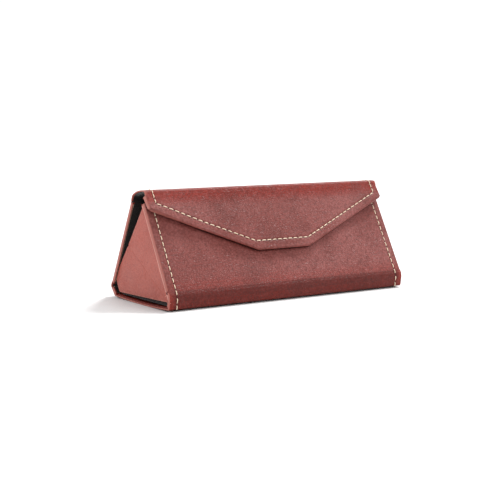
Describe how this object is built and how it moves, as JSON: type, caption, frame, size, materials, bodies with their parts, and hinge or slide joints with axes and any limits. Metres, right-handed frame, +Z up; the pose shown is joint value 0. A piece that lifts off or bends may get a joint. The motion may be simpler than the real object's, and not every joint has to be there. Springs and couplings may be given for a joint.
{
  "type": "eyeglasses case",
  "caption": "Folding triangular eyeglasses case in brown leather over boards, with a stitched angular magnetic flap and fold-in end panels.",
  "frame": {"origin": "middle of the footprint, on the surface that the case rests on", "axes": "+X along the case, -Y towards the front panel with the flap, +Z up"},
  "size_m": [0.165, 0.0688, 0.0641],
  "materials": {
    "outer_leather": "smooth grained red-brown leather, satin",
    "end_leather": "thin paler red-brown leather, satin",
    "board": "grey-brown pressed board",
    "lining": "short-pile black lining",
    "magnet": "nickel-plated disc",
    "thread": "waxed cream thread"
  },
  "bodies": {
    "base": {"bottom_cover": "outer_leather", "bottom_board": "board", "bottom_lining": "lining", "front_strip_board": "board", "rear_strip_board": "board", "strip_stitching": "thread"},
    "front_panel": {"front_cover": "outer_leather", "front_board": "board", "front_lining": "lining", "front_magnets": "magnet", "front_stitching": "thread"},
    "back_panel": {"back_cover": "outer_leather", "back_board": "board", "back_lining": "lining", "back_stitching": "thread"},
    "top_spine": {"spine_cover": "outer_leather", "spine_lining": "lining", "spine_stitching": "thread"},
    "flap": {"flap_cover": "outer_leather", "flap_board": "board", "flap_lining": "lining", "flap_magnets": "magnet", "flap_stitching": "thread"},
    "left_lower_end": {"left_lower_end_cover": "end_leather", "left_lower_end_board": "board", "left_end_crease": "end_leather"},
    "left_upper_end": {"left_upper_end_cover": "end_leather", "left_upper_end_board": "board"},
    "right_lower_end": {"right_lower_end_cover": "end_leather", "right_lower_end_board": "board", "right_end_crease": "end_leather"},
    "right_upper_end": {"right_upper_end_cover": "end_leather", "right_upper_end_board": "board"}
  },
  "joints": [
    {"name": "flap_hinge", "type": "hinge", "parent": "top_spine", "child": "flap", "pos_m": [0, -0.00623, 0.06367], "axis": [-1, 0, 0], "range_deg": [0, 150]},
    {"name": "back_panel_hinge", "type": "hinge", "parent": "base", "child": "back_panel", "pos_m": [0, 0.03381, 0.00642], "axis": [-1, 0, 0], "range_deg": [0, 60]},
    {"name": "top_spine_hinge", "type": "hinge", "parent": "back_panel", "child": "top_spine", "pos_m": [0, 0.00674, 0.06022], "axis": [-1, 0, 0], "range_deg": [0, 150]},
    {"name": "front_panel_fold", "type": "hinge", "parent": "base", "child": "front_panel", "pos_m": [0, -0.03388, 0.00811], "axis": [-1, 0, 0], "range_deg": [0, 57]},
    {"name": "left_lower_end_fold", "type": "hinge", "parent": "base", "child": "left_lower_end", "pos_m": [-0.0809, -0.03318, 0.00405], "axis": [0, 1, 0], "range_deg": [0, 90], "deforming": ["left_end_crease"]},
    {"name": "left_upper_end_fold", "type": "hinge", "parent": "front_panel", "child": "left_upper_end", "pos_m": [-0.0809, -0.03161, 0.00684], "axis": [0, -0.4883, -0.8727], "range_deg": [0, 90]},
    {"name": "right_lower_end_fold", "type": "hinge", "parent": "base", "child": "right_lower_end", "pos_m": [0.0809, -0.03318, 0.00405], "axis": [0, -1, 0], "range_deg": [0, 90], "deforming": ["right_end_crease"]},
    {"name": "right_upper_end_fold", "type": "hinge", "parent": "front_panel", "child": "right_upper_end", "pos_m": [0.0809, -0.03161, 0.00684], "axis": [0, 0.4883, 0.8727], "range_deg": [0, 90]}
  ],
  "couplings": [
    {"joint": "top_spine_hinge", "follows": "back_panel_hinge", "ratio": 2.5},
    {"joint": "left_lower_end_fold", "follows": "front_panel_fold", "ratio": 1.5789},
    {"joint": "left_upper_end_fold", "follows": "front_panel_fold", "ratio": 1.5789},
    {"joint": "right_lower_end_fold", "follows": "front_panel_fold", "ratio": 1.5789},
    {"joint": "right_upper_end_fold", "follows": "front_panel_fold", "ratio": 1.5789}
  ]
}
